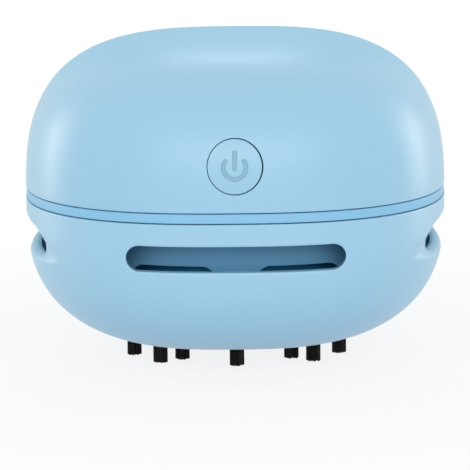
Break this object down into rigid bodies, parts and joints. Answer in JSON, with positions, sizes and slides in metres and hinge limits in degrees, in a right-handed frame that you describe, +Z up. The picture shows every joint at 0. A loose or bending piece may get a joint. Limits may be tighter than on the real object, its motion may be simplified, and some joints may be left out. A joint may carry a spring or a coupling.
{
  "type": "desktop mini vacuum cleaner",
  "caption": "Rounded-square desktop mini vacuum: lift-off upper half with fan, motor and push button over a dust cup with side exhaust slots, standing on bristle tufts.",
  "frame": {"origin": "on the table, under the middle of the bristle tufts", "axes": "+Z up, front with the push button towards -Y, +X to the right seen from the front"},
  "size_m": [0.086, 0.086, 0.0673],
  "materials": {
    "shell_blue": "satin moulded ABS",
    "band_blue": "satin moulded ABS",
    "button_blue": "satin moulded ABS",
    "inner_blue": "matt moulded ABS",
    "tray_grey": "translucent grey moulded ABS",
    "bristle_black": "nylon bristle bundle",
    "seal_foam": "closed-cell foam",
    "filter_felt": "non-woven felt",
    "screw_steel": "zinc-plated steel",
    "can_steel": "nickel-plated steel",
    "bell_plastic": "black moulded nylon",
    "bush_bronze": "sintered bronze and brass",
    "magnet_ferrite": "sintered ferrite",
    "copper_wire": "enamelled copper wire",
    "cell_wrap": "shrink-wrapped steel can",
    "board_green": "solder-resist laminate"
  },
  "bodies": {
    "dust_cup": {"lower_shell": "shell_blue", "dust_tray": "tray_grey", "base_plate": "shell_blue", "base_screws": "screw_steel", "cup_seal": "seal_foam", "tuft_outer_1": "bristle_black", "tuft_outer_2": "bristle_black", "tuft_outer_3": "bristle_black", "tuft_outer_4": "bristle_black", "tuft_outer_5": "bristle_black", "tuft_outer_6": "bristle_black", "tuft_outer_7": "bristle_black", "tuft_outer_8": "bristle_black", "tuft_inner_1": "bristle_black", "tuft_inner_2": "bristle_black", "tuft_inner_3": "bristle_black", "tuft_inner_4": "bristle_black"},
    "upper_unit": {"upper_shell": "shell_blue", "trim_ring": "band_blue", "chassis": "inner_blue", "chassis_screws": "screw_steel", "fan_cover": "inner_blue", "cover_screws": "screw_steel", "motor_can": "can_steel", "motor_screws": "screw_steel", "end_bell": "bell_plastic", "lower_bush": "bush_bronze", "upper_bush": "bush_bronze", "motor_magnets": "magnet_ferrite", "motor_brushes": "bush_bronze", "motor_terminals": "bush_bronze", "battery_cell": "cell_wrap", "switch_board": "board_green", "key_switch": "bell_plastic", "switch_screws": "screw_steel", "charge_board": "board_green", "charge_screws": "screw_steel", "charge_socket": "can_steel"},
    "button": {"button_cap": "button_blue", "switch_plunger": "bell_plastic"},
    "rotor": {"motor_shaft": "can_steel", "rotor_core": "can_steel", "rotor_windings": "copper_wire", "commutator": "bush_bronze", "impeller": "inner_blue"},
    "filter": {"filter_frame": "tray_grey", "filter_pad": "filter_felt"}
  },
  "joints": [
    {"name": "cup_release", "type": "slide", "parent": "dust_cup", "child": "upper_unit", "axis": [0, 0, 1], "range_m": [0, 0.03]},
    {"name": "button_press", "type": "slide", "parent": "upper_unit", "child": "button", "axis": [0, 1, 0], "range_m": [0, 0.0006], "stiffness_N_per_m": 600, "springref_m": -0.0002},
    {"name": "fan_spin", "type": "hinge", "parent": "upper_unit", "child": "rotor", "pos_m": [0, 0, 0.0343], "axis": [0, 0, 1], "continuous": true},
    {"name": "filter_twist", "type": "hinge", "parent": "upper_unit", "child": "filter", "pos_m": [0, 0, 0.0227], "axis": [0, 0, 1], "range_deg": [0, 25]}
  ]
}
